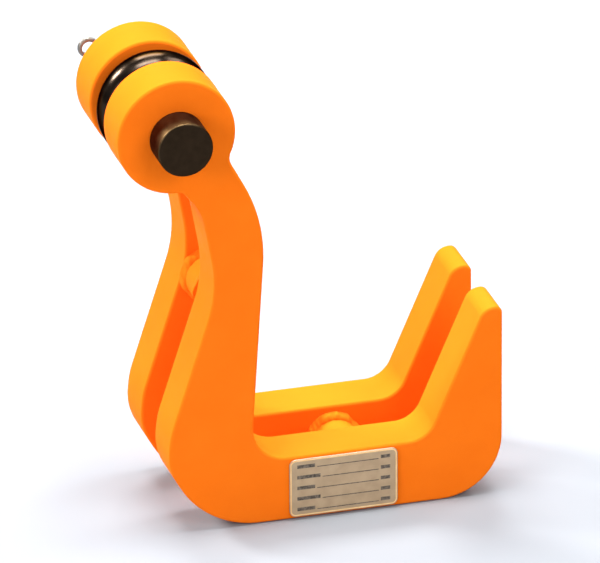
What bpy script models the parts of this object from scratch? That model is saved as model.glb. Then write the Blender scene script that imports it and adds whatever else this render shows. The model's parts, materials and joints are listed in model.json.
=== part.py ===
"""Beam clamp: two C-shaped plates held apart by welded bars, with a load pin and roller in the eyes.

Metres, +Z up. X runs from the eyes to the jaw's tooth, Y from the front plate to the rear one.
Dimensions are given from the pin axis at the front plate's outer face. The "pin_axis" empty
stands there and is placed so that the world origin is under the middle of the clamp's box.
"""

import math

import bmesh
import bpy
from mathutils import Matrix, Vector

# Plates: thickness, the gap between them and the small rounding of their edges.
PLATE = 0.025
GAP = 0.023
EDGE = 0.0012
REAR_PLATE = PLATE + GAP
BACK = 2 * PLATE + GAP
FIT = 0.0003

# Outline: the eye, then the corners of the hook as x, z and corner radius.
EYE_R = 0.0275
EYE_FILLET_LEFT = 0.003
EYE_FILLET_RIGHT = 0.007
BASE_Z = -0.197
FLOOR_Z = -0.1657
TIP_Z = -0.1033
TOOTH_X = 0.1532
ARM_BACK_START = (0.002, -0.0273)
HOOK = (
    (0.0113, -0.0380, 0.025),
    (0.0184, -0.0780, 0.060),
    (-0.0044, -0.1475, 0.045),
    (-0.0060, -0.1642, 0.028),
    (0.0132, BASE_Z, 0.043),
    (TOOTH_X, BASE_Z, 0.029),
    (TOOTH_X, TIP_Z, 0.0035),
    (0.1444, TIP_Z, 0.0075),
    (0.1172, FLOOR_Z, 0.0135),
    (0.0336, FLOOR_Z, 0.016),
    (0.0415, -0.0466, 0.075),
)
ARM_FRONT_END = (0.0269, -0.0192)
ARC_STEP = math.radians(7.5)

# Spacer bars between the plates, with a weld groove turned on each end.
SPACER_R = 0.011
SPACER_GROOVE = 0.004
WELD_R = 0.0132
WELD_ARC_STEP = math.radians(36)
WELD_SEGMENTS = 36
ARM_SPACER = (0.0265, -0.0910)
BASE_SPACER = (0.0860, -0.1820)

# Load pin: a plain head against the front plate, and a shank through both eyes.
HEAD_R = 0.0128
HEAD_OUT = 0.015
SHANK_R = 0.010
HOLE_R = 0.01025
PIN_END = 0.095
PIN_CHAMFER = 0.0012

# Roller and its bush, which turn on the shank between the eyes.
ROLLER_R = 0.0271
ROLLER_HALF_WIDTH = 0.011
ROLLER_BORE_R = 0.013
ROLLER_ARC_STEP = math.radians(15)
BUSH_BORE_R = 0.01025

# Washer, castle nut and split pin behind the rear plate.
WASHER_R = 0.0185
WASHER_T = 0.003
NUT_FLATS = 0.030
NUT_BODY = 0.010
CROWN_R = 0.014
CROWN_H = 0.006
SLOT = 0.005
SLOT_ANGLE = math.radians(150)
CROSS_HOLE_R = 0.0025
WIRE_R = 0.001
WIRE_ARC_STEP = math.radians(18)
LEG_OFFSET = 0.00115
SPLIT_EYE_R = 0.004
SPLIT_EYE_FROM_AXIS = 0.0195
LEG_WRAP_R = 0.0158
LEG_WRAP = math.radians(38)

# Rating plate on the front face, below the jaw.
LABEL = (0.0770, -0.1813)
LABEL_W = 0.0515
LABEL_H = 0.0286
LABEL_CORNER = 0.003
LABEL_T = 0.0008

# The frame's origin, from the pin axis at the front face.
BOX_MIDDLE_X = (TOOTH_X - EYE_R) / 2
BOX_MIDDLE_Y = (PIN_END - HEAD_OUT) / 2


# ---------------------------------------------------------------- outlines

def arc(centre, radius, start, sweep, step=ARC_STEP):
    """Points of an arc, both ends included."""
    count = max(2, math.ceil(abs(sweep) / step - 1e-6))
    angles = [start + sweep * k / count for k in range(count + 1)]
    return [centre + radius * Vector((math.cos(a), math.sin(a))) for a in angles]


def turn(a, b):
    """Signed angle from direction a to direction b."""
    return math.atan2(a.x * b.y - a.y * b.x, a.dot(b))


def corner_arc(before, corner, after, radius):
    """The arc that rounds a corner between two straight runs."""
    into = (corner - before).normalized()
    out = (after - corner).normalized()
    angle = turn(into, out)
    start = corner - into * radius * math.tan(abs(angle) / 2)
    side = math.copysign(1, angle)
    normal = Vector((-into.y, into.x)) * side
    centre = start + normal * radius
    return arc(centre, radius, math.atan2(-normal.y, -normal.x), angle)


def eye_junction(point, direction, radius, side):
    """Fillet between the eye and a straight edge that leaves it.

    side is +1 where the open air lies to the left of the direction, -1 to the right.
    Returns the arc from the eye to the edge, and the angle where it touches the eye.
    """
    normal = Vector((-direction.y, direction.x)) * side
    offset = point + normal * radius
    along = offset.dot(direction)
    reach = (EYE_R + radius) ** 2 - (offset.length_squared - along ** 2)
    centre = offset + direction * (math.sqrt(reach) - along)
    start = math.atan2(-centre.y, -centre.x)
    end = math.atan2(-normal.y, -normal.x)
    sweep = (end - start + math.pi) % (2 * math.pi) - math.pi
    return arc(centre, radius, start, sweep), math.atan2(centre.y, centre.x)


def plate_outline():
    """The plate's outline in X and Z, anticlockwise seen from the front."""
    corners = [Vector((x, z)) for x, z, _ in HOOK]
    back_start = Vector(ARM_BACK_START)
    front_end = Vector(ARM_FRONT_END)
    back, back_angle = eye_junction(
        back_start, (corners[0] - back_start).normalized(), EYE_FILLET_LEFT, -1)
    front, front_angle = eye_junction(
        front_end, (corners[-1] - front_end).normalized(), EYE_FILLET_RIGHT, 1)
    run = [back_start] + corners + [front_end]
    points = list(back)
    for k, (_, _, radius) in enumerate(HOOK):
        points += corner_arc(run[k], run[k + 1], run[k + 2], radius)
    points += reversed(front)
    eye = arc(Vector((0, 0)), EYE_R, front_angle, back_angle % (2 * math.pi) - front_angle)
    return points + eye[1:-1]


def rounded_rectangle(width, height, radius):
    """Outline of a rectangle with rounded corners, centred on the origin."""
    half = Vector((width / 2, height / 2))
    corners = [Vector((half.x * sx, half.y * sz)) for sx, sz in ((1, -1), (1, 1), (-1, 1), (-1, -1))]
    points = []
    for k, corner in enumerate(corners):
        points += corner_arc(corners[k - 1], corner, corners[(k + 1) % 4], radius)
    return points


# ---------------------------------------------------------------- solids

def finish_mesh(bm, name, sharp=35):
    """Turn a bmesh into a mesh, smooth except at real edges."""
    bmesh.ops.recalc_face_normals(bm, faces=bm.faces)
    mesh = bpy.data.meshes.new(name)
    bm.to_mesh(mesh)
    bm.free()
    mesh.shade_smooth()
    mesh.set_sharp_from_angle(angle=math.radians(sharp))
    return mesh


def extruded(name, outline, start, depth):
    """A flat outline in X and Z made solid from y = start to start + depth."""
    bm = bmesh.new()
    face = bm.faces.new([bm.verts.new((p.x, start, p.y)) for p in outline])
    swept = bmesh.ops.extrude_face_region(bm, geom=[face])
    moved = [v for v in swept["geom"] if isinstance(v, bmesh.types.BMVert)]
    bmesh.ops.translate(bm, verts=moved, vec=(0, depth, 0))
    return finish_mesh(bm, name)


def turned(name, profile, segments=48):
    """A closed ring of (radius, y) points turned about the Y axis."""
    bm = bmesh.new()
    rings = []
    for k in range(segments):
        spin = Matrix.Rotation(2 * math.pi * k / segments, 4, "Y")
        rings.append([bm.verts.new(spin @ Vector((r, y, 0))) for r, y in profile])
    for k, ring in enumerate(rings):
        following = rings[(k + 1) % segments]
        for i in range(len(profile)):
            j = (i + 1) % len(profile)
            bm.faces.new((ring[i], ring[j], following[j], following[i]))
    return finish_mesh(bm, name)


def turned_bar(name, profile, segments=48):
    """A solid bar turned about the Y axis from (radius, y) points, closed by flat ends."""
    bm = bmesh.new()
    rings = []
    for r, y in profile:
        angles = [2 * math.pi * k / segments for k in range(segments)]
        rings.append([bm.verts.new((r * math.cos(a), y, r * math.sin(a))) for a in angles])
    for lower, upper in zip(rings, rings[1:]):
        for k in range(segments):
            j = (k + 1) % segments
            bm.faces.new((lower[k], lower[j], upper[j], upper[k]))
    bm.faces.new(rings[0])
    bm.faces.new(rings[-1])
    return finish_mesh(bm, name)


def material(name, colour, roughness, metallic=0.0):
    """A Principled material for one sub-part."""
    made = bpy.data.materials.new(name)
    made.use_nodes = True
    shader = made.node_tree.nodes["Principled BSDF"]
    shader.inputs["Base Color"].default_value = (*colour, 1.0)
    shader.inputs["Roughness"].default_value = roughness
    shader.inputs["Metallic"].default_value = metallic
    return made


def add(name, data, parent, finish, location=(0, 0, 0)):
    """Put a mesh or curve into the scene under its parent."""
    item = bpy.data.objects.new(name, data)
    bpy.context.collection.objects.link(item)
    item.parent = parent
    item.location = location
    data.materials.append(material(name, *finish))
    return item


def cut(item, name, mesh, rotation=0.0):
    """Cut a mesh out of an object; the cutter turns about the pin axis."""
    cutter = bpy.data.objects.new(name, mesh)
    bpy.context.collection.objects.link(cutter)
    cutter.parent = item.parent
    cutter.rotation_euler = (0, rotation, 0)
    cutter.display_type = "WIRE"
    cutter.hide_render = True
    modifier = item.modifiers.new(name, "BOOLEAN")
    modifier.operation = "DIFFERENCE"
    modifier.solver = "EXACT"
    modifier.object = cutter


# ---------------------------------------------------------------- sub-parts

ORANGE = ((0.90, 0.19, 0.013), 0.38)
DARK_STEEL = ((0.045, 0.035, 0.028), 0.35, 0.9)
POLISHED_STEEL = ((0.09, 0.075, 0.065), 0.16, 1.0)
ZINC = ((0.60, 0.58, 0.54), 0.35, 1.0)
BRONZE = ((0.45, 0.28, 0.12), 0.40, 1.0)
ALUMINIUM = ((0.48, 0.42, 0.34), 0.50, 0.3)


def make_plate(name, start, parent):
    """One C-shaped plate with rounded edges and a hole for the load pin, from y = start."""
    plate = add(name, extruded(name, plate_outline(), start, PLATE), parent, ORANGE)
    rounding = plate.modifiers.new("edges", "BEVEL")
    rounding.width = EDGE
    rounding.segments = 2
    rounding.limit_method = "ANGLE"
    rounding.angle_limit = math.radians(50)
    hole = [(HOLE_R, start - PLATE), (HOLE_R, start + 2 * PLATE)]
    cut(plate, name + "_hole_cutter", turned_bar(name + "_hole", hole))


def make_spacer(name, centre, parent):
    """A round bar between the plates, grooved at both ends for its welds."""
    low = PLATE + FIT
    high = REAR_PLATE - FIT
    root = SPACER_R - SPACER_GROOVE
    profile = [
        (root, low),
        (SPACER_R, low + SPACER_GROOVE),
        (SPACER_R, high - SPACER_GROOVE),
        (root, high),
    ]
    add(name, turned_bar(name, profile), parent, ORANGE, (centre[0], 0, centre[1]))


def make_weld(name, centre, face, away, parent):
    """A weld bead that fills a spacer's groove against a plate's inner face.

    face is the plate's y and away the direction from it, +1 or -1.
    """
    root = SPACER_R - SPACER_GROOVE + 2 * FIT
    half_leg = SPACER_GROOVE / 2
    height = WELD_R - SPACER_R - FIT
    crown = arc(Vector((0, 0)), 1, -math.pi / 2, math.pi, WELD_ARC_STEP)
    profile = [(root, FIT)]
    profile += [(SPACER_R + FIT + height * p.x, FIT + half_leg * (1 + p.y)) for p in crown]
    placed = [(r, face + away * y) for r, y in profile]
    add(name, turned(name, placed, WELD_SEGMENTS), parent, ORANGE, (centre[0], 0, centre[1]))


def make_spacers(parent):
    """The two spacer bars and the weld bead at each of their ends."""
    for place, centre in (("arm", ARM_SPACER), ("base", BASE_SPACER)):
        make_spacer(place + "_spacer", centre, parent)
        make_weld(place + "_spacer_weld_front", centre, PLATE, 1, parent)
        make_weld(place + "_spacer_weld_rear", centre, REAR_PLATE, -1, parent)


def make_load_pin(parent):
    """The load pin: head, shank and a cross hole for the split pin."""
    profile = [
        (HEAD_R - PIN_CHAMFER / 2, -HEAD_OUT),
        (HEAD_R, -HEAD_OUT + PIN_CHAMFER / 2),
        (HEAD_R, -FIT),
        (SHANK_R, -FIT),
        (SHANK_R, PIN_END - PIN_CHAMFER),
        (SHANK_R - PIN_CHAMFER, PIN_END),
    ]
    pin = add("load_pin", turned_bar("load_pin", profile), parent, DARK_STEEL)
    hole = turned_bar("cross_hole", [(CROSS_HOLE_R, -2 * SHANK_R), (CROSS_HOLE_R, 2 * SHANK_R)], 24)
    hole.transform(Matrix.Translation((0, split_pin_y(), 0)) @ Matrix.Rotation(math.pi / 2, 4, "Z"))
    cut(pin, "cross_hole_cutter", hole, -SLOT_ANGLE)


def make_roller(parent):
    """The crowned roller and the bush pressed into it."""
    middle = PLATE + GAP / 2
    flank = ROLLER_R - ROLLER_HALF_WIDTH
    crown = arc(Vector((flank, 0)), ROLLER_HALF_WIDTH, -math.pi / 2, math.pi, ROLLER_ARC_STEP)
    profile = [(ROLLER_BORE_R, middle - ROLLER_HALF_WIDTH)]
    profile += [(p.x, middle + p.y) for p in crown]
    profile += [(ROLLER_BORE_R, middle + ROLLER_HALF_WIDTH)]
    add("roller", turned("roller", profile), parent, POLISHED_STEEL)
    outer = ROLLER_BORE_R - FIT
    bush = [
        (BUSH_BORE_R, middle - ROLLER_HALF_WIDTH),
        (outer, middle - ROLLER_HALF_WIDTH),
        (outer, middle + ROLLER_HALF_WIDTH),
        (BUSH_BORE_R, middle + ROLLER_HALF_WIDTH),
    ]
    add("roller_bush", turned("roller_bush", bush), parent, BRONZE)


def washer_y():
    """Where the washer starts, behind the rear plate."""
    return BACK + FIT


def nut_y():
    """Where the nut starts, behind the washer."""
    return washer_y() + WASHER_T + FIT


def split_pin_y():
    """The split pin's y, in the slots of the nut's crown."""
    return nut_y() + NUT_BODY + CROWN_H / 2


def make_washer(parent):
    """Flat washer against the rear plate."""
    start = washer_y()
    inner = SHANK_R + 2 * FIT
    profile = [
        (inner, start), (WASHER_R, start), (WASHER_R, start + WASHER_T), (inner, start + WASHER_T)]
    add("washer", turned("washer", profile), parent, ZINC)


def make_castle_nut(parent):
    """Hexagon nut with a round, slotted crown."""
    start = nut_y()
    bore = SHANK_R + FIT
    corner_r = NUT_FLATS / math.sqrt(3)
    hexagon = [Vector((corner_r * math.cos(a), corner_r * math.sin(a)))
               for a in (math.radians(60 * k) for k in range(6))]
    nut = add("castle_nut", extruded("castle_nut", hexagon, start, NUT_BODY), parent, ZINC)
    crown_profile = [(CROWN_R, start + NUT_BODY / 2), (CROWN_R, start + NUT_BODY + CROWN_H)]
    crown = bpy.data.objects.new("crown_blank", turned_bar("crown_blank", crown_profile))
    bpy.context.collection.objects.link(crown)
    crown.parent = parent
    crown.display_type = "WIRE"
    crown.hide_render = True
    union = nut.modifiers.new("crown", "BOOLEAN")
    union.operation = "UNION"
    union.solver = "EXACT"
    union.object = crown
    cut(nut, "nut_bore_cutter", turned_bar("nut_bore", [(bore, start - 0.01), (bore, start + 0.03)]))
    floor = start + NUT_BODY + FIT
    slot = rounded_rectangle(4 * CROWN_R, SLOT, SLOT / 8)
    for k in range(3):
        mesh = extruded("slot", slot, floor, 2 * CROWN_H)
        cut(nut, f"slot_cutter_{k}", mesh, -SLOT_ANGLE + math.radians(60 * k))


def leg_end(side):
    """Path of one split-pin leg beyond the nut, bent round its crown, tip last."""
    reach = LEG_WRAP_R - 2 * WIRE_R
    bend = arc(Vector((-reach, side * (LEG_OFFSET + 2 * WIRE_R))), 2 * WIRE_R,
               -side * math.pi / 2, -side * math.pi / 2, WIRE_ARC_STEP)
    start = math.atan2(bend[-1].y, bend[-1].x)
    radius = bend[-1].length
    wrap = arc(Vector((0, 0)), radius, start, -side * LEG_WRAP)
    return bend + wrap[1:]


def split_pin_path():
    """The split pin's centre line, along its own axis, from tip to eye to tip."""
    half = math.asin(LEG_OFFSET / SPLIT_EYE_R)
    centre = Vector((SPLIT_EYE_FROM_AXIS, 0))
    eye = arc(centre, SPLIT_EYE_R, -math.pi + half, 2 * (math.pi - half), WIRE_ARC_STEP)
    lower = leg_end(-1)
    upper = leg_end(1)
    return list(reversed(lower)) + eye + upper


def make_split_pin(parent):
    """Wire split pin through the crown's slots and the cross hole."""
    path = split_pin_path()
    curve = bpy.data.curves.new("split_pin", "CURVE")
    curve.dimensions = "3D"
    curve.bevel_depth = WIRE_R
    curve.bevel_resolution = 2
    curve.use_fill_caps = True
    spline = curve.splines.new("POLY")
    spline.points.add(len(path) - 1)
    for point, p in zip(spline.points, path):
        point.co = (p.x, 0, p.y, 1)
    pin = add("split_pin", curve, parent, ZINC, (0, split_pin_y(), 0))
    pin.rotation_euler = (0, -SLOT_ANGLE, 0)


def make_rating_plate(parent):
    """Thin blank plate on the front face."""
    outline = rounded_rectangle(LABEL_W, LABEL_H, LABEL_CORNER)
    mesh = extruded("rating_plate", outline, -FIT - LABEL_T, LABEL_T)
    add("rating_plate", mesh, parent, ALUMINIUM, (LABEL[0], 0, LABEL[1]))


def main():
    """Clear the scene and build the clamp."""
    for item in list(bpy.data.objects):
        bpy.data.objects.remove(item, do_unlink=True)
    pin_axis = bpy.data.objects.new("pin_axis", None)
    bpy.context.collection.objects.link(pin_axis)
    pin_axis.location = (-BOX_MIDDLE_X, -BOX_MIDDLE_Y, -BASE_Z)
    make_plate("front_plate", 0, pin_axis)
    make_plate("rear_plate", REAR_PLATE, pin_axis)
    make_spacers(pin_axis)
    make_load_pin(pin_axis)
    make_roller(pin_axis)
    make_washer(pin_axis)
    make_castle_nut(pin_axis)
    make_split_pin(pin_axis)
    make_rating_plate(pin_axis)


main()
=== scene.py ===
"""Beam clamp, the looks: fine meshes, materials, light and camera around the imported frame.

Metres, +Z up. Meshes are drawn in X, Y and Z from the pin axis at the front plate's outer face,
and PIN_AXIS puts them in the frame. The sizes are those of the CAD parts they stand for.
"""

import json
import math

import bmesh
import bpy
from mathutils import Matrix, Vector, noise


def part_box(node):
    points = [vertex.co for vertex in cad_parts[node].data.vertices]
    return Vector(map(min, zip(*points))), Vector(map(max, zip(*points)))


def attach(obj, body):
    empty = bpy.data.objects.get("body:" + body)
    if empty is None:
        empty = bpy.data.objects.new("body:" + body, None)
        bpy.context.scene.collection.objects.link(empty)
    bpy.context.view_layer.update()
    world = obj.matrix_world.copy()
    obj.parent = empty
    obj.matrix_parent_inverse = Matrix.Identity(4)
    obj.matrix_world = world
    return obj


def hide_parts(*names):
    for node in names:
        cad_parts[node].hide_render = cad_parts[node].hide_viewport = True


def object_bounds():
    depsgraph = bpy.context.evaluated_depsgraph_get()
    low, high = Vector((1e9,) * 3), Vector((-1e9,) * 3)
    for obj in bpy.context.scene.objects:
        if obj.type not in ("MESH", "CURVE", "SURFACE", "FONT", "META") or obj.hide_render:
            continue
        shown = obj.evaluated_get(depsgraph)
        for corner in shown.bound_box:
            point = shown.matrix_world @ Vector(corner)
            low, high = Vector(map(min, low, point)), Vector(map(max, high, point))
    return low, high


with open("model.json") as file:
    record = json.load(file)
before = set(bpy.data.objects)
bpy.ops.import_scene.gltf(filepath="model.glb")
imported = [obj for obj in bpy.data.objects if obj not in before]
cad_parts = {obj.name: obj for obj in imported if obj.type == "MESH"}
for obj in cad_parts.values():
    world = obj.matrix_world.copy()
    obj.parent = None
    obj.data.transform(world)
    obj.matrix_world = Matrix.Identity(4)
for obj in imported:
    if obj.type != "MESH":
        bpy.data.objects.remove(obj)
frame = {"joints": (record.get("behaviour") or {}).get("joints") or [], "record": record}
CAD_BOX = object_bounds()
RECORD = frame["record"]
BODY_OF = {node: body for body, nodes in RECORD["behaviour"]["bodies"].items() for node in nodes}

# Where the pin axis meets the front plate's outer face.
AXIS_X, _, AXIS_Z = frame["joints"][0]["pos_m"]
PIN_AXIS = Vector((AXIS_X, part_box("front_plate")[0].y, AXIS_Z))

# Plates: thickness, the gap between them and the rounding of their edges.
PLATE = 0.025
GAP = 0.023
EDGE = 0.0014
EDGE_STEPS = 5
CORNER_STEP = math.radians(22)
REAR_PLATE = PLATE + GAP
BACK = 2 * PLATE + GAP
FIT = 0.0003

# Outline: the eye, then the corners of the hook as x, z and corner radius.
EYE_R = 0.0275
EYE_FILLET_LEFT = 0.003
EYE_FILLET_RIGHT = 0.007
BASE_Z = -0.197
FLOOR_Z = -0.1657
TIP_Z = -0.1033
TOOTH_X = 0.1532
ARM_BACK_START = (0.002, -0.0273)
HOOK = (
    (0.0113, -0.0380, 0.025),
    (0.0184, -0.0780, 0.060),
    (-0.0044, -0.1475, 0.045),
    (-0.0060, -0.1642, 0.028),
    (0.0132, BASE_Z, 0.043),
    (TOOTH_X, BASE_Z, 0.029),
    (TOOTH_X, TIP_Z, 0.0035),
    (0.1444, TIP_Z, 0.0075),
    (0.1172, FLOOR_Z, 0.0135),
    (0.0336, FLOOR_Z, 0.016),
    (0.0415, -0.0466, 0.075),
)
ARM_FRONT_END = (0.0269, -0.0192)
ARC_STEP = math.radians(3)
ROUND_SEGMENTS = 96

# Bores of the plates.
HOLE_R = 0.01025
HOLE_LIP = 0.0005

# Spacer bars between the plates, and the weld beads around their ends.
SPACER_R = 0.011
SPACER_GROOVE = 0.004
SPACER_ROUNDING = 0.0005
BEAD_TOE_R = 0.0134
BEAD_LEG = 0.0043
BEAD_SUNK = 0.0002
BEAD_SEGMENTS = 240
BEAD_STEPS = 10

# Each spacer's centre as x and z, and the seed of the bead at its front end.
SPACERS = (
    ("arm_spacer", (0.0265, -0.0910), 1.3),
    ("base_spacer", (0.0860, -0.1820), 4.1),
)
REAR_BEAD_SEED = 2.2

# Skin of a bead: how high its lumps and ripples are, and how coarse.
LUMP_HEIGHT = 0.0018
LUMP_SCALE = 2.6
SMALL_LUMP_SHARE = 0.3
SMALL_LUMP_SCALE = 7
SMALL_LUMP_SEED = 5
RIPPLES = 9
RIPPLE_HEIGHT = 0.00006
RIPPLE_LEAN = 0.7
RIPPLE_DRIFT = 0.25
BEAD_EDGE_SHARE = 0.35

# Load pin: a plain head against the front plate, a shank and a threaded end.
HEAD_R = 0.0128
HEAD_OUT = 0.015
HEAD_ROUNDING = 0.0009
SHANK_R = 0.010
PIN_END = 0.095
THREAD_START = 0.0735
THREAD_PITCH = 0.0025
THREAD_DEPTH = 0.0013
THREAD_RINGS = 10
THREAD_FLAT = 0.125
THREAD_CHAMFER = 0.0015
CROSS_HOLE_R = 0.0025
CROSS_HOLE_SEGMENTS = 48

# Roller and its bush.
ROLLER_R = 0.0271
ROLLER_HALF_WIDTH = 0.011
ROLLER_BORE_R = 0.013
BUSH_BORE_R = 0.01025
BUSH_CHAMFER = 0.0006

# Washer, castle nut and split pin behind the rear plate.
WASHER_R = 0.0185
WASHER_T = 0.003
WASHER_ROUNDING = 0.0006
WASHER_START = BACK + FIT
NUT_START = WASHER_START + WASHER_T + FIT
NUT_FLATS = 0.030
NUT_BODY = 0.010
NUT_BORE_R = 0.0095
NUT_CHAMFER_SHARE = 0.97
NUT_CHAMFER_ANGLE = math.radians(30)
CROWN_R = 0.014
CROWN_H = 0.006
CROWN_ROUNDING = 0.0009
SLOT = 0.005
SLOT_CORNER = SLOT / 8
SLOT_ANGLE = math.radians(150)
CUT_MARGIN = 0.001
SPLIT_PIN_Y = NUT_START + NUT_BODY + CROWN_H / 2
WIRE_R = 0.001
WIRE_HALF_WIDTH = 0.0014
WIRE_FLAT = 0.0008
LEG_OFFSET = 0.00115
SPLIT_EYE_R = 0.004
SPLIT_NECK_R = 0.0022
SPLIT_EYE_FROM_AXIS = 0.0195
LEG_WRAP_R = 0.0158
LEG_WRAP = math.radians(38)
WIRE_STEP = math.radians(9)
WIRE_SIDES = 12

# Rating plate on the front face, below the jaw, with a raised border and ruled lines.
LABEL = (0.0770, -0.1813)
LABEL_W = 0.0515
LABEL_H = 0.0286
LABEL_CORNER = 0.003
LABEL_BACK = -FIT
LABEL_FACE = -FIT - 0.0007
LABEL_FRONT = -FIT - 0.0008
LABEL_ROUNDING = 0.0002
BORDER_WIDTH = 0.0011
RULE_MARGIN = 0.0036
RULE_ROWS = 5
RULE_HEIGHT = 0.0004
RULE_PROUD = 0.00005
RULE_GAP = 0.001
HEADING_WIDTH = 0.0085
LONG_HEADING = 1.3
HEADING_HEIGHT = 0.0017
UNIT_WIDTH = 0.0045

# Angles above which an edge is a real one, shaded sharp.
SHARP_EDGE = math.radians(35)
SHARP_CUT = math.radians(30)
SHARP_BEAD = math.radians(60)
SHARP_WIRE = math.radians(50)

# Noise textures: the part of their range that is in use, and the strength of bump.
NOISE_LOW = 0.3
NOISE_HIGH = 0.7
SHADE_LOW = 0.34
SHADE_HIGH = 0.66
BUMP_STRENGTH = 0.5

# Tint of dark steel seen at a low angle.
DARK_EDGE_TINT = (0.30, 0.20, 0.13, 1)

# Camera and studio, from the pin axis at the front face.
CAMERA_AIM = Vector((0.0570, 0.0, -0.0782))
CAMERA_AZIMUTH = math.radians(-16.1)
CAMERA_ELEVATION = math.radians(24.4)
CAMERA_ROLL = math.radians(-0.34)
CAMERA_DISTANCE = 4.8
CAMERA_LENS = 636
CAMERA_SENSOR = 36
CAMERA_REACH = 200
FLOOR_HALF = 8.0
FLOOR_DROP = 0.0002
SURROUND_COLOUR = (0.95, 0.93, 1.0, 1)
SURROUND_STRENGTH = 0.26

# Soft light panels: direction from the clamp, width and height, and power in watts.
PANEL_DISTANCE = 3.5
PANELS = (
    ("overhead_panel", (-0.05, 0.0, 1.0), (0.9, 2.0), 150),
    ("rear_panel", (0.08, 0.67, 0.74), (1.8, 1.3), 155),
    ("left_rear_panel", (-0.63, 0.58, 0.52), (0.8, 0.8), 150),
    ("left_front_panel", (-0.80, -0.45, 0.38), (1.6, 1.6), 64),
    ("right_panel", (0.62, 0.16, 0.78), (1.3, 1.3), 62),
    ("front_panel", (0.36, -0.78, 0.51), (1.8, 1.8), 50),
)


# ---------------------------------------------------------------- outlines

def arc(centre, radius, start, sweep, step=ARC_STEP):
    """Points of an arc, both ends included."""
    count = max(2, math.ceil(abs(sweep) / step - 1e-6))
    angles = [start + sweep * k / count for k in range(count + 1)]
    return [centre + radius * Vector((math.cos(a), math.sin(a))) for a in angles]


def left_of(direction):
    """The direction a quarter turn to the left."""
    return Vector((-direction.y, direction.x))


def turn(a, b):
    """Signed angle from direction a to direction b."""
    return math.atan2(a.x * b.y - a.y * b.x, a.dot(b))


def corner_arc(before, corner, after, radius, step=ARC_STEP):
    """The arc that rounds a corner between two straight runs."""
    into = (corner - before).normalized()
    out = (after - corner).normalized()
    angle = turn(into, out)
    start = corner - into * radius * math.tan(abs(angle) / 2)
    normal = left_of(into) * math.copysign(1, angle)
    centre = start + normal * radius
    return arc(centre, radius, math.atan2(-normal.y, -normal.x), angle, step)


def junction(round_r, point, direction, radius, side):
    """Fillet between a circle at the origin and a straight edge that leaves it.

    side is +1 where the open air lies to the left of the direction, -1 to the right.
    Returns the arc from the circle to the edge, and the angle where it touches the circle.
    """
    normal = left_of(direction) * side
    offset = point + normal * radius
    along = offset.dot(direction)
    reach = (round_r + radius) ** 2 - (offset.length_squared - along ** 2)
    centre = offset + direction * (math.sqrt(reach) - along)
    start = math.atan2(-centre.y, -centre.x)
    end = math.atan2(-normal.y, -normal.x)
    sweep = (end - start + math.pi) % (2 * math.pi) - math.pi
    return arc(centre, radius, start, sweep), math.atan2(centre.y, centre.x)


def plate_outline():
    """The plate's outline in X and Z, anticlockwise seen from the front."""
    corners = [Vector((x, z)) for x, z, _ in HOOK]
    back_start = Vector(ARM_BACK_START)
    front_end = Vector(ARM_FRONT_END)
    back_way = (corners[0] - back_start).normalized()
    front_way = (corners[-1] - front_end).normalized()
    back, back_angle = junction(EYE_R, back_start, back_way, EYE_FILLET_LEFT, -1)
    front, front_angle = junction(EYE_R, front_end, front_way, EYE_FILLET_RIGHT, 1)
    run = [back_start] + corners + [front_end]
    points = list(back)
    for k, (_, _, radius) in enumerate(HOOK):
        points += corner_arc(run[k], run[k + 1], run[k + 2], radius)
    points += reversed(front)
    eye = arc(Vector((0, 0)), EYE_R, front_angle, back_angle % (2 * math.pi) - front_angle)
    return points + eye[1:-1]


def rounded_rectangle(width, height, radius):
    """Outline of a rectangle with rounded corners, centred on the origin."""
    half = Vector((width / 2, height / 2))
    signs = ((1, -1), (1, 1), (-1, 1), (-1, -1))
    corners = [Vector((half.x * sx, half.y * sz)) for sx, sz in signs]
    points = []
    for k, corner in enumerate(corners):
        points += corner_arc(corners[k - 1], corner, corners[(k + 1) % 4], radius)
    return points


def inset(outline, distance):
    """An anticlockwise outline moved inwards by a distance."""
    moved = []
    for k, point in enumerate(outline):
        before = left_of((point - outline[k - 1]).normalized())
        after = left_of((outline[(k + 1) % len(outline)] - point).normalized())
        inward = (before + after).normalized()
        moved.append(point + inward * distance / inward.dot(before))
    return moved


def softened(profile, radius, closed=True):
    """A turned profile of (radius, y) points with its corners rounded."""
    points = [Vector(p) for p in profile]
    soft = []
    for k, corner in enumerate(points):
        if not closed and k in (0, len(points) - 1):
            soft.append(corner)
            continue
        after = points[(k + 1) % len(points)]
        soft += corner_arc(points[k - 1], corner, after, radius, CORNER_STEP)
    return [(p.x, p.y) for p in soft]


def edge_rounding(radius):
    """(inset, depth) pairs of a quarter round, from the flat face to the side."""
    angles = [math.pi / 2 * k / EDGE_STEPS for k in range(EDGE_STEPS + 1)]
    return [(radius * (1 - math.sin(a)), radius * (1 - math.cos(a))) for a in angles]


# ---------------------------------------------------------------- meshes

def finish_mesh(bm, name, sharp=SHARP_EDGE):
    """Turn a bmesh into a mesh, smooth except at real edges."""
    bmesh.ops.recalc_face_normals(bm, faces=bm.faces)
    mesh = bpy.data.meshes.new(name)
    bm.to_mesh(mesh)
    bm.free()
    mesh.shade_smooth()
    mesh.set_sharp_from_angle(angle=sharp)
    return mesh


def loop_of(bm, points, y):
    """Vertices for an outline in X and Z at one y."""
    return [bm.verts.new((p.x, y, p.y)) for p in points]


def circle(radius, segments=ROUND_SEGMENTS):
    """Points of a circle round the pin axis."""
    angles = [2 * math.pi * k / segments for k in range(segments)]
    return [Vector((radius * math.cos(a), radius * math.sin(a))) for a in angles]


def skin(bm, loops, closed=False):
    """Join neighbouring loops of vertices with faces."""
    pairs = list(zip(loops, loops[1:]))
    if closed:
        pairs.append((loops[-1], loops[0]))
    for low, high in pairs:
        for k in range(len(low)):
            j = (k + 1) % len(low)
            bm.faces.new((low[k], low[j], high[j], high[k]))


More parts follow.
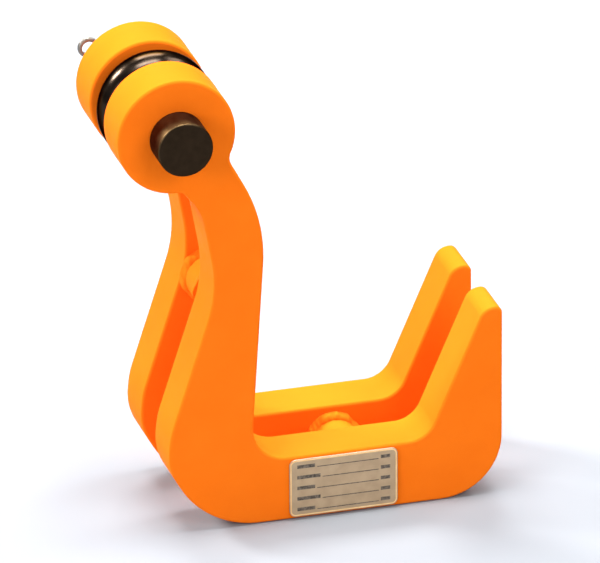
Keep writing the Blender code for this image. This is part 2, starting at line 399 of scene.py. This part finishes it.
def fill_between(bm, outer, inner):
    """A flat face between an outer and an inner loop."""
    edges = []
    for loop in (outer, inner):
        edges += [bm.edges.get((loop[k - 1], loop[k])) for k in range(len(loop))]
    bmesh.ops.triangle_fill(bm, edges=edges, use_beauty=True)


def turned(name, profile, segments=ROUND_SEGMENTS):
    """A closed ring of (radius, y) points turned about the pin axis."""
    bm = bmesh.new()
    skin(bm, [loop_of(bm, circle(r, segments), y) for r, y in profile], closed=True)
    return finish_mesh(bm, name)


def turned_bar(name, profile, segments=ROUND_SEGMENTS):
    """A bar turned about the pin axis from (radius, y) points, with flat ends."""
    bm = bmesh.new()
    loops = [loop_of(bm, circle(r, segments), y) for r, y in profile]
    skin(bm, loops)
    bm.faces.new(loops[0])
    bm.faces.new(loops[-1])
    return finish_mesh(bm, name)


def slab(name, outline, start, depth, rounding=0.0):
    """A convex outline made solid, with its front edge rounded where that is asked for."""
    bm = bmesh.new()
    steps = edge_rounding(rounding) if rounding else [(0.0, 0.0)]
    loops = [loop_of(bm, inset(outline, d), start + y) for d, y in steps]
    loops.append(loop_of(bm, outline, start + depth))
    skin(bm, loops)
    bm.faces.new(loops[0])
    bm.faces.new(loops[-1])
    return finish_mesh(bm, name)


def combined(base, steps):
    """The base mesh after boolean steps, each an operation and the other mesh."""
    host = bpy.data.objects.new("host", base)
    helpers = [bpy.data.objects.new("helper", mesh) for _, mesh in steps]
    for item in [host] + helpers:
        bpy.context.scene.collection.objects.link(item)
    for (operation, _), helper in zip(steps, helpers):
        modifier = host.modifiers.new(operation, "BOOLEAN")
        modifier.operation = operation
        modifier.solver = "EXACT"
        modifier.object = helper
    bpy.context.view_layer.update()
    evaluated = host.evaluated_get(bpy.context.evaluated_depsgraph_get())
    result = bpy.data.meshes.new_from_object(evaluated)
    for item in [host] + helpers:
        bpy.data.objects.remove(item, do_unlink=True)
    result.shade_smooth()
    result.set_sharp_from_angle(angle=SHARP_CUT)
    return result


def show(node, mesh, finish, offset=(0, 0, 0), name=None):
    """Show a mesh in place of its CAD node, riding on that node's body."""
    piece = bpy.data.objects.new(name or node + "_fine", mesh)
    bpy.context.scene.collection.objects.link(piece)
    piece.location = PIN_AXIS + Vector(offset)
    mesh.materials.clear()
    mesh.materials.append(finish)
    shading = piece.modifiers.new("flat faces", "WEIGHTED_NORMAL")
    shading.keep_sharp = True
    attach(piece, BODY_OF[node])
    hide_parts(node)
    return piece


# ---------------------------------------------------------------- materials

def new_material(name, metallic=0.0):
    """A Principled material, and its shader."""
    made = bpy.data.materials.new(name)
    made.use_nodes = True
    shader = made.node_tree.nodes["Principled BSDF"]
    shader.inputs["Metallic"].default_value = metallic
    return made, shader


def link(made, source, target):
    """Join two sockets of a material."""
    made.node_tree.links.new(source, target)


def object_place(made):
    """The point on the surface, in the piece's own metres."""
    return made.node_tree.nodes.new("ShaderNodeTexCoord").outputs["Object"]


def turned_place(made):
    """The point as distance from the axis and place along it, for marks left by turning."""
    nodes = made.node_tree.nodes
    split = nodes.new("ShaderNodeSeparateXYZ")
    link(made, object_place(made), split.inputs[0])
    flat = nodes.new("ShaderNodeCombineXYZ")
    link(made, split.outputs["X"], flat.inputs["X"])
    link(made, split.outputs["Z"], flat.inputs["Y"])
    radius = nodes.new("ShaderNodeVectorMath")
    radius.operation = "LENGTH"
    link(made, flat.outputs[0], radius.inputs[0])
    place = nodes.new("ShaderNodeCombineXYZ")
    link(made, radius.outputs["Value"], place.inputs["X"])
    link(made, split.outputs["Y"], place.inputs["Y"])
    return place.outputs[0]


def stretched(made, place, stretch):
    """A place scaled along its axes, so that a texture on it is drawn out."""
    scaled = made.node_tree.nodes.new("ShaderNodeMapping")
    scaled.inputs["Scale"].default_value = stretch
    link(made, place, scaled.inputs["Vector"])
    return scaled.outputs[0]


def grain(made, place, size, detail=2.0):
    """Noise with features of a size in metres."""
    texture = made.node_tree.nodes.new("ShaderNodeTexNoise")
    texture.inputs["Scale"].default_value = 1 / size
    texture.inputs["Detail"].default_value = detail
    link(made, place, texture.inputs["Vector"])
    return texture.outputs[0]


def shades(made, source, dark, light):
    """A colour between two shades, chosen by a texture."""
    ramp = made.node_tree.nodes.new("ShaderNodeValToRGB")
    first, last = ramp.color_ramp.elements
    first.position = SHADE_LOW
    first.color = (*dark, 1)
    last.position = SHADE_HIGH
    last.color = (*light, 1)
    link(made, source, ramp.inputs[0])
    return ramp.outputs["Color"]


def vary_colour(made, shader, source, dark, light):
    """Colour the surface between two shades by a texture."""
    link(made, shades(made, source, dark, light), shader.inputs["Base Color"])


def vary_roughness(made, shader, source, low, high):
    """Set the roughness between two values by a texture."""
    span = made.node_tree.nodes.new("ShaderNodeMapRange")
    span.inputs["From Min"].default_value = NOISE_LOW
    span.inputs["From Max"].default_value = NOISE_HIGH
    span.inputs["To Min"].default_value = low
    span.inputs["To Max"].default_value = high
    link(made, source, span.inputs["Value"])
    link(made, span.outputs["Result"], shader.inputs["Roughness"])


def add_bump(made, shader, source, height):
    """Raise the surface by a texture, on top of any bump already there."""
    bump = made.node_tree.nodes.new("ShaderNodeBump")
    bump.inputs["Strength"].default_value = BUMP_STRENGTH
    bump.inputs["Distance"].default_value = height
    link(made, source, bump.inputs["Height"])
    normal = shader.inputs["Normal"]
    if normal.is_linked:
        link(made, normal.links[0].from_socket, bump.inputs["Normal"])
    link(made, bump.outputs["Normal"], normal)


def orange_paint():
    """Orange powder coat: faint clouds of colour, and the fine dimples of sprayed powder."""
    made, shader = new_material("orange_paint")
    place = object_place(made)
    clouds = grain(made, place, size=0.022, detail=3)
    vary_colour(made, shader, clouds, dark=(0.91, 0.170, 0.008), light=(0.93, 0.180, 0.009))
    vary_roughness(made, shader, grain(made, place, size=0.006), low=0.42, high=0.52)
    add_bump(made, shader, grain(made, place, size=0.0016, detail=1), height=0.00012)
    add_bump(made, shader, grain(made, place, size=0.0005, detail=1), height=0.00003)
    shader.inputs["Specular IOR Level"].default_value = 0.004
    shader.inputs["Specular Tint"].default_value = (1.0, 0.62, 0.15, 1)
    return made


def head_side_reflection_mask(made):
    """Mask of the painted reflection: 1 on the side and rim of the pin's head, 0 on its face and
    on the shank.
    """
    nodes = made.node_tree.nodes
    split = nodes.new("ShaderNodeSeparateXYZ")
    link(made, object_place(made), split.inputs[0])
    along_head = nodes.new("ShaderNodeMapRange")
    along_head.inputs["From Min"].default_value = -HEAD_OUT
    along_head.inputs["From Max"].default_value = 0.0
    link(made, split.outputs["Y"], along_head.inputs["Value"])
    ramp = nodes.new("ShaderNodeValToRGB")
    link(made, along_head.outputs["Result"], ramp.inputs[0])
    stops = ramp.color_ramp.elements
    stops[0].color = (0, 0, 0, 1)
    stops[1].color = (0, 0, 0, 1)
    rim = HEAD_ROUNDING / HEAD_OUT
    for position in (rim, 1 - rim):
        stops.new(position).color = (1, 1, 1, 1)
    return ramp.outputs["Color"]


def dark_pin_steel():
    """Blackened, oiled steel with turning rings; the side and rim of the head get a painted brown
    reflection, lighter than the face.
    """
    made, shader = new_material("dark_pin_steel", metallic=1.0)
    rings = grain(made, turned_place(made), size=0.0007, detail=3)
    stains = grain(made, object_place(made), size=0.004, detail=4)
    black = shades(made, stains, dark=(0.026, 0.016, 0.009), light=(0.034, 0.021, 0.012))
    # Painted reflection: a lighter brown for the head's side and rim, standing in for the warm
    # light they reflect.
    brown = shades(made, stains, dark=(0.095, 0.062, 0.028), light=(0.125, 0.080, 0.038))
    # Mix in the painted brown reflection where the head-side mask is 1, the black steel elsewhere.
    painted_reflection_mix = made.node_tree.nodes.new("ShaderNodeMix")
    painted_reflection_mix.data_type = "RGBA"
    black_input, brown_input = [s for s in painted_reflection_mix.inputs if s.type == "RGBA"]
    link(made, head_side_reflection_mask(made), painted_reflection_mix.inputs[0])
    link(made, black, black_input)
    link(made, brown, brown_input)
    mixed = next(s for s in painted_reflection_mix.outputs if s.type == "RGBA")
    link(made, mixed, shader.inputs["Base Color"])
    vary_roughness(made, shader, stains, low=0.33, high=0.42)
    add_bump(made, shader, rings, height=0.00006)
    shader.inputs["Specular Tint"].default_value = DARK_EDGE_TINT
    return made


def polished_roller_steel():
    """Dark hardened steel, polished, with hairlines round it."""
    made, shader = new_material("polished_roller_steel", metallic=1.0)
    place = turned_place(made)
    bands = grain(made, place, size=0.003)
    hairlines = grain(made, place, size=0.0004, detail=3)
    clouds = grain(made, object_place(made), size=0.005, detail=4)
    vary_colour(made, shader, bands, dark=(0.032, 0.023, 0.017), light=(0.050, 0.037, 0.028))
    vary_roughness(made, shader, clouds, low=0.17, high=0.27)
    add_bump(made, shader, hairlines, height=0.000012)
    shader.inputs["Specular Tint"].default_value = DARK_EDGE_TINT
    return made


def zinc_plate():
    """Dulled zinc plating: grey with a trace of brown, slightly cloudy."""
    made, shader = new_material("zinc_plate", metallic=1.0)
    place = object_place(made)
    clouds = grain(made, place, size=0.005, detail=4)
    vary_colour(made, shader, clouds, dark=(0.19, 0.17, 0.145), light=(0.30, 0.275, 0.24))
    vary_roughness(made, shader, clouds, low=0.34, high=0.50)
    add_bump(made, shader, grain(made, place, size=0.0007, detail=3), height=0.00004)
    return made


def bronze():
    """Sintered bronze: matt, and finely pitted."""
    made, shader = new_material("bronze", metallic=1.0)
    pits = grain(made, object_place(made), size=0.0006, detail=3)
    vary_colour(made, shader, pits, dark=(0.30, 0.17, 0.07), light=(0.52, 0.33, 0.15))
    vary_roughness(made, shader, pits, low=0.36, high=0.52)
    add_bump(made, shader, pits, height=0.00005)
    return made


def label_metal():
    """Thin anodised plate, brushed along its length."""
    made, shader = new_material("label_metal", metallic=0.25)
    drawn_out = stretched(made, object_place(made), (0.03, 1, 1))
    brushed = grain(made, drawn_out, size=0.0003, detail=3)
    patches = grain(made, object_place(made), size=0.006, detail=4)
    vary_colour(made, shader, patches, dark=(0.43, 0.305, 0.183), light=(0.50, 0.36, 0.22))
    vary_roughness(made, shader, brushed, low=0.42, high=0.58)
    add_bump(made, shader, brushed, height=0.00003)
    shader.inputs["Specular IOR Level"].default_value = 0.3
    return made


def label_border():
    """Cream enamel border of the rating plate."""
    made, shader = new_material("label_border")
    patches = grain(made, object_place(made), size=0.004, detail=3)
    vary_colour(made, shader, patches, dark=(0.80, 0.48, 0.20), light=(0.88, 0.60, 0.30))
    add_bump(made, shader, grain(made, object_place(made), size=0.0006), height=0.00002)
    shader.inputs["Roughness"].default_value = 0.45
    shader.inputs["Specular IOR Level"].default_value = 0.3
    return made


def label_ink():
    """Dark printed lines, a little uneven."""
    made, shader = new_material("label_ink")
    patches = grain(made, object_place(made), size=0.0012, detail=4)
    vary_colour(made, shader, patches, dark=(0.06, 0.05, 0.04), light=(0.20, 0.16, 0.12))
    shader.inputs["Roughness"].default_value = 0.6
    shader.inputs["Specular IOR Level"].default_value = 0.2
    return made


def studio_floor():
    """Pale matt floor with a faint unevenness."""
    made, shader = new_material("studio_floor")
    patches = grain(made, object_place(made), size=0.35)
    vary_colour(made, shader, patches, dark=(0.286, 0.304, 0.328), light=(0.294, 0.312, 0.336))
    shader.inputs["Roughness"].default_value = 0.9
    shader.inputs["Specular IOR Level"].default_value = 0.0
    return made


# ---------------------------------------------------------------- the clamp's pieces

def lip(radius, y, into):
    """The rounded mouth of a bore: from the face at y to its wall, into the plate."""
    return [(radius + d, y + into * depth) for d, depth in edge_rounding(HOLE_LIP)]


def plate_mesh(name):
    """One C-shaped plate with rounded edges and a bore for the load pin."""
    bm = bmesh.new()
    bore = lip(HOLE_R, 0, 1) + list(reversed(lip(HOLE_R, PLATE, -1)))
    front = edge_rounding(EDGE)
    rim = front + [(d, PLATE - y) for d, y in reversed(front)]
    outline = plate_outline()
    outer = [loop_of(bm, inset(outline, d), y) for d, y in rim]
    inner = [loop_of(bm, circle(r), y) for r, y in bore]
    skin(bm, outer)
    skin(bm, inner)
    fill_between(bm, outer[0], inner[0])
    fill_between(bm, outer[-1], inner[-1])
    return finish_mesh(bm, name)


def show_plates(paint):
    """Both plates."""
    show("front_plate", plate_mesh("front_plate"), paint)
    show("rear_plate", plate_mesh("rear_plate"), paint, (0, REAR_PLATE, 0))


def bead_point(angle, step, seed):
    """(radius, height from the plate) of a weld bead's skin, lumpy and rippled."""
    slope = math.pi / 2 * step / BEAD_STEPS
    swell = math.sin(2 * slope)
    around = Vector((math.cos(angle), math.sin(angle), 0))
    small_place = around * SMALL_LUMP_SCALE + Vector((0, slope, seed + SMALL_LUMP_SEED))
    lumps = noise.noise(around * LUMP_SCALE + Vector((0, 0, seed)))
    lumps += SMALL_LUMP_SHARE * noise.noise(small_place)
    phase = RIPPLES * angle / (2 * math.pi) + RIPPLE_LEAN * swell + RIPPLE_DRIFT * lumps
    ripple = 1 - (2 * (phase % 1) - 1) ** 2
    share = BEAD_EDGE_SHARE + (1 - BEAD_EDGE_SHARE) * swell
    raised = share * (RIPPLE_HEIGHT * ripple + LUMP_HEIGHT * lumps)
    flare = BEAD_TOE_R - SPACER_R
    radius = SPACER_R - 2 * BEAD_SUNK + flare * math.cos(slope) + raised * math.cos(slope)
    height = -BEAD_SUNK + (BEAD_LEG + raised) * math.sin(slope)
    return radius, height


def bead_mesh(name, seed, away):
    """A weld bead round a spacer's end; away is the direction from the plate, +1 or -1."""
    bm = bmesh.new()
    angles = [2 * math.pi * k / BEAD_SEGMENTS for k in range(BEAD_SEGMENTS)]
    root = SPACER_R - SPACER_GROOVE
    loops = []
    for step in range(BEAD_STEPS + 1):
        points = [(a, *bead_point(a, step, seed)) for a in angles]
        ring = [(r * math.cos(a), away * h, r * math.sin(a)) for a, r, h in points]
        loops.append([bm.verts.new(point) for point in ring])
    loops.append(loop_of(bm, circle(root, BEAD_SEGMENTS), away * SPACER_GROOVE))
    loops.append(loop_of(bm, circle(root, BEAD_SEGMENTS), -away * BEAD_SUNK))
    skin(bm, loops, closed=True)
    return finish_mesh(bm, name, SHARP_BEAD)


def show_spacers(paint):
    """The two spacer bars and the weld bead at each of their ends."""
    root = SPACER_R - SPACER_GROOVE
    bar = [
        (root, PLATE),
        (SPACER_R, PLATE + SPACER_GROOVE),
        (SPACER_R, REAR_PLATE - SPACER_GROOVE),
        (root, REAR_PLATE),
    ]
    for spacer, (x, z), seed in SPACERS:
        at = Vector((x, 0, z))
        mesh = turned_bar(spacer, softened(bar, SPACER_ROUNDING, closed=False))
        show(spacer, mesh, paint, at)
        ends = (("front", PLATE, 1, seed), ("rear", REAR_PLATE, -1, seed + REAR_BEAD_SEED))
        for end, face, away, end_seed in ends:
            weld = f"{spacer}_weld_{end}"
            show(weld, bead_mesh(weld, end_seed, away), paint, at + Vector((0, face, 0)))


def thread_radius(y, angle):
    """Radius of the pin's threaded end at a place along it and round it."""
    phase = ((y - THREAD_START) / THREAD_PITCH - angle / (2 * math.pi)) % 1
    flank = min(1, max(0, (1 + 2 * THREAD_FLAT) * abs(2 * phase - 1) - THREAD_FLAT))
    runout = min(1, (y - THREAD_START) / THREAD_PITCH)
    chamfered = SHANK_R - max(0, y - (PIN_END - THREAD_CHAMFER))
    return min(SHANK_R - THREAD_DEPTH * flank * runout, chamfered)


def pin_mesh():
    """The load pin's head, shank and thread, closed at both ends."""
    bm = bmesh.new()
    head = [
        (0, -HEAD_OUT),
        (HEAD_R, -HEAD_OUT),
        (HEAD_R, -FIT),
        (SHANK_R, -FIT),
        (SHANK_R, THREAD_START),
    ]
    soft = softened(head[:3], HEAD_ROUNDING, closed=False)[1:] + head[3:]
    loops = [loop_of(bm, circle(r), y) for r, y in soft]
    rings = round((PIN_END - THREAD_START) / THREAD_PITCH * THREAD_RINGS)
    angles = [2 * math.pi * k / ROUND_SEGMENTS for k in range(ROUND_SEGMENTS)]
    for ring in range(1, rings + 1):
        y = THREAD_START + (PIN_END - THREAD_START) * ring / rings
        radii = [thread_radius(y, a) for a in angles]
        points = [Vector((r * math.cos(a), r * math.sin(a))) for r, a in zip(radii, angles)]
        loops.append(loop_of(bm, points, y))
    skin(bm, loops)
    bm.faces.new(loops[0])
    bm.faces.new(loops[-1])
    return finish_mesh(bm, "load_pin")


def show_load_pin(steel):
    """The load pin, with the split pin's cross hole."""
    length = [(CROSS_HOLE_R, -2 * SHANK_R), (CROSS_HOLE_R, 2 * SHANK_R)]
    across = turned_bar("cross_hole", length, CROSS_HOLE_SEGMENTS)
    lying = Matrix.Rotation(math.pi / 2, 4, "Z")
    spun = Matrix.Rotation(-SLOT_ANGLE, 4, "Y")
    across.transform(Matrix.Translation((0, SPLIT_PIN_Y, 0)) @ spun @ lying)
    show("load_pin", combined(pin_mesh(), [("DIFFERENCE", across)]), steel)


def show_roller(steel, bush_metal):
    """The crowned roller and the bush pressed into it."""
    middle = PLATE + GAP / 2
    near = middle - ROLLER_HALF_WIDTH
    far = middle + ROLLER_HALF_WIDTH
    flank = ROLLER_R - ROLLER_HALF_WIDTH
    crown = arc(Vector((flank, middle)), ROLLER_HALF_WIDTH, -math.pi / 2, math.pi)
    bore = [
        (ROLLER_BORE_R, far - BUSH_CHAMFER),
        (ROLLER_BORE_R, near + BUSH_CHAMFER),
        (ROLLER_BORE_R + BUSH_CHAMFER, near),
    ]
    profile = [(p.x, p.y) for p in crown] + [(ROLLER_BORE_R + BUSH_CHAMFER, far)] + bore
    show("roller", turned("roller", profile, 2 * ROUND_SEGMENTS), steel)
    outer = ROLLER_BORE_R
    bush = [(BUSH_BORE_R, near), (outer, near), (outer, far), (BUSH_BORE_R, far)]
    show("roller_bush", turned("roller_bush", softened(bush, BUSH_CHAMFER)), bush_metal)


def show_washer(zinc):
    """Flat washer against the rear plate."""
    inner = SHANK_R + FIT
    end = WASHER_START + WASHER_T
    profile = [(inner, WASHER_START), (WASHER_R, WASHER_START), (WASHER_R, end), (inner, end)]
    show("washer", turned("washer", softened(profile, WASHER_ROUNDING)), zinc)


def nut_mesh():
    """Castle nut: chamfered hexagon, round slotted crown and a countersunk bore."""
    corner_r = NUT_FLATS / math.sqrt(3)
    top = NUT_START + NUT_BODY
    crown_top = top + CROWN_H
    edge_r = NUT_CHAMFER_SHARE * NUT_FLATS / 2
    wide_r = corner_r + FIT
    rise = (wide_r - edge_r) * math.tan(NUT_CHAMFER_ANGLE)
    cone = [(edge_r, NUT_START), (wide_r, NUT_START + rise), (wide_r, top - rise), (edge_r, top)]
    shoulder = [(0, top - rise), (CROWN_R, top - rise), (CROWN_R, crown_top), (0, crown_top)]
    crown = softened(shoulder, CROWN_ROUNDING, closed=False)[1:-1]
    flare = NUT_BORE_R + 2 * CROWN_ROUNDING
    bore = [
        (flare + CUT_MARGIN, NUT_START - CUT_MARGIN),
        (NUT_BORE_R, NUT_START + flare - NUT_BORE_R),
        (NUT_BORE_R, crown_top - flare + NUT_BORE_R),
        (flare + CUT_MARGIN, crown_top + CUT_MARGIN),
    ]
    steps = [
        ("INTERSECT", turned_bar("cone", cone)),
        ("UNION", turned_bar("crown", crown)),
        ("DIFFERENCE", turned_bar("bore", bore)),
    ]
    slot = rounded_rectangle(4 * CROWN_R, SLOT, SLOT_CORNER)
    for k in range(3):
        cutter = slab("slot", slot, top + FIT, 2 * CROWN_H)
        cutter.transform(Matrix.Rotation(-SLOT_ANGLE + math.radians(60 * k), 4, "Y"))
        steps.append(("DIFFERENCE", cutter))
    hexagon = circle(corner_r, 6)
    return combined(slab("castle_nut", hexagon, NUT_START, NUT_BODY), steps)


def leg_end(side):
    """Path of one split-pin leg beyond the nut, bent round its crown, tip last."""
    reach = LEG_WRAP_R - 2 * WIRE_R
    corner = Vector((-reach, side * (LEG_OFFSET + 2 * WIRE_R)))
    bend = arc(corner, 2 * WIRE_R, -side * math.pi / 2, -side * math.pi / 2, WIRE_STEP)
    start = math.atan2(bend[-1].y, bend[-1].x)
    wrap = arc(Vector((0, 0)), bend[-1].length, start, -side * LEG_WRAP, WIRE_STEP)
    return bend + wrap[1:]


def split_pin_path():
    """The split pin's centre line, along its own axis, from tip to eye to tip."""
    back = Vector((-1, 0))
    centre = Vector((SPLIT_EYE_FROM_AXIS, 0))
    upper, end = junction(SPLIT_EYE_R, Vector((0, LEG_OFFSET)), back, SPLIT_NECK_R, -1)
    lower, start = junction(SPLIT_EYE_R, Vector((0, -LEG_OFFSET)), back, SPLIT_NECK_R, 1)
    eye = arc(Vector((0, 0)), SPLIT_EYE_R, start, end - start, WIRE_STEP)
    loop = list(reversed(lower)) + eye[1:-1] + upper
    return list(reversed(leg_end(-1))) + [centre + p for p in loop] + leg_end(1)


def split_pin_mesh():
    """Half-round wire swept along the split pin's path, its flat on the inside."""
    path = split_pin_path()
    around = [math.pi * k / WIRE_SIDES for k in range(WIRE_SIDES + 1)]
    depth = WIRE_FLAT + WIRE_R
    section = [(WIRE_FLAT - depth * math.sin(a), WIRE_HALF_WIDTH * math.cos(a)) for a in around]
    bm = bmesh.new()
    loops = []
    for k, point in enumerate(path):
        before = path[max(k - 1, 0)]
        after = path[min(k + 1, len(path) - 1)]
        inside = left_of((after - before).normalized())
        across = [point + inside * n for n, _ in section]
        loops.append([bm.verts.new((p.x, y, p.y)) for p, (_, y) in zip(across, section)])
    skin(bm, loops)
    bm.faces.new(loops[0])
    bm.faces.new(loops[-1])
    mesh = finish_mesh(bm, "split_pin", SHARP_WIRE)
    mesh.transform(Matrix.Translation((0, SPLIT_PIN_Y, 0)) @ Matrix.Rotation(-SLOT_ANGLE, 4, "Y"))
    return mesh


def bars_mesh(name, bars, face, front):
    """Flat printed bars, each given as left, right, middle height and thickness."""
    bm = bmesh.new()
    for left, right, middle, thickness in bars:
        outline = [
            Vector((left, middle - thickness / 2)),
            Vector((right, middle - thickness / 2)),
            Vector((right, middle + thickness / 2)),
            Vector((left, middle + thickness / 2)),
        ]
        loops = [loop_of(bm, outline, front), loop_of(bm, outline, face)]
        skin(bm, loops)
        bm.faces.new(loops[0])
        bm.faces.new(loops[1])
    return finish_mesh(bm, name)


def border_mesh(outline):
    """The raised border along the rating plate's outline."""
    bm = bmesh.new()
    loops = [
        loop_of(bm, inset(outline, LABEL_ROUNDING), LABEL_FACE + LABEL_ROUNDING),
        loop_of(bm, inset(outline, 2 * LABEL_ROUNDING), LABEL_FRONT),
        loop_of(bm, inset(outline, BORDER_WIDTH - LABEL_ROUNDING), LABEL_FRONT),
        loop_of(bm, inset(outline, BORDER_WIDTH), LABEL_FACE + LABEL_ROUNDING),
    ]
    skin(bm, loops, closed=True)
    return finish_mesh(bm, "border")


def ruled_rows():
    """Bars of the rating plate's rows: a heading, a thin rule and a short bar at the end."""
    left = -LABEL_W / 2 + RULE_MARGIN
    right = LABEL_W / 2 - RULE_MARGIN
    bars = []
    for row in range(RULE_ROWS):
        z = LABEL_H / 2 - RULE_MARGIN - row * (LABEL_H - 2 * RULE_MARGIN) / (RULE_ROWS - 1)
        heading_end = left + HEADING_WIDTH * (1.0 if row % 2 == 0 else LONG_HEADING)
        rule_z = z - HEADING_HEIGHT / 2
        bars.append((left, heading_end, z, HEADING_HEIGHT))
        bars.append((heading_end + RULE_GAP, right - UNIT_WIDTH - RULE_GAP, rule_z, RULE_HEIGHT))
        bars.append((right - UNIT_WIDTH, right, z, HEADING_HEIGHT))
    return bars


def show_rating_plate(metal, border_paint, ink):
    """The rating plate: a thin sheet, a raised border and generic ruled rows."""
    at = (LABEL[0], 0, LABEL[1])
    outline = rounded_rectangle(LABEL_W, LABEL_H, LABEL_CORNER)
    sheet = slab("rating_plate", outline, LABEL_FACE, LABEL_BACK - LABEL_FACE, LABEL_ROUNDING)
    show("rating_plate", sheet, metal, at)
    show("rating_plate", border_mesh(outline), border_paint, at, "rating_plate_border")
    behind = LABEL_FACE + LABEL_ROUNDING
    rules = bars_mesh("rules", ruled_rows(), behind, LABEL_FACE - RULE_PROUD)
    show("rating_plate", rules, ink, at, "rating_plate_rules")


def show_clamp():
    """Every piece of the clamp with its finish."""
    paint = orange_paint()
    zinc = zinc_plate()
    show_plates(paint)
    show_spacers(paint)
    show_load_pin(dark_pin_steel())
    show_roller(polished_roller_steel(), bronze())
    show_washer(zinc)
    show("castle_nut", nut_mesh(), zinc)
    show("split_pin", split_pin_mesh(), zinc)
    show_rating_plate(label_metal(), label_border(), label_ink())


# ---------------------------------------------------------------- studio

def add_panel(name, direction, size, power):
    """A soft light panel out along a direction, facing the clamp; size is its width and height."""
    data = bpy.data.lights.new(name, "AREA")
    data.shape = "RECTANGLE"
    data.size, data.size_y = size
    data.energy = power
    panel = bpy.data.objects.new(name, data)
    bpy.context.scene.collection.objects.link(panel)
    out = Vector(direction).normalized()
    panel.location = PIN_AXIS + CAMERA_AIM + out * PANEL_DISTANCE
    panel.rotation_euler = out.to_track_quat("Z", "Y").to_euler()


def add_studio():
    """Pale floor, soft panels all round and an even pale surround."""
    bm = bmesh.new()
    bmesh.ops.create_grid(bm, x_segments=1, y_segments=1, size=FLOOR_HALF)
    mesh = bpy.data.meshes.new("floor")
    bm.to_mesh(mesh)
    bm.free()
    mesh.materials.append(studio_floor())
    floor = bpy.data.objects.new("floor", mesh)
    floor.location = (0, 0, CAD_BOX[0][2] - FLOOR_DROP)
    bpy.context.scene.collection.objects.link(floor)
    for panel in PANELS:
        add_panel(*panel)
    world = bpy.data.worlds.new("surround")
    world.use_nodes = True
    surround = world.node_tree.nodes["Background"]
    surround.inputs["Color"].default_value = SURROUND_COLOUR
    surround.inputs["Strength"].default_value = SURROUND_STRENGTH
    bpy.context.scene.world = world


def add_camera():
    """Long-lens camera, in front of the clamp, to its left and above it."""
    data = bpy.data.cameras.new("camera")
    data.lens = CAMERA_LENS
    data.sensor_width = CAMERA_SENSOR
    data.clip_end = CAMERA_REACH
    camera = bpy.data.objects.new("camera", data)
    bpy.context.scene.collection.objects.link(camera)
    level = math.cos(CAMERA_ELEVATION)
    out = Vector((
        level * math.sin(CAMERA_AZIMUTH),
        -level * math.cos(CAMERA_AZIMUTH),
        math.sin(CAMERA_ELEVATION),
    ))
    camera.location = PIN_AXIS + CAMERA_AIM + out * CAMERA_DISTANCE
    facing = out.to_track_quat("Z", "Y").to_matrix() @ Matrix.Rotation(CAMERA_ROLL, 3, "Z")
    camera.rotation_euler = facing.to_euler()
    bpy.context.scene.camera = camera


show_clamp()
add_studio()
add_camera()
bpy.context.scene.view_settings.view_transform = "Standard"
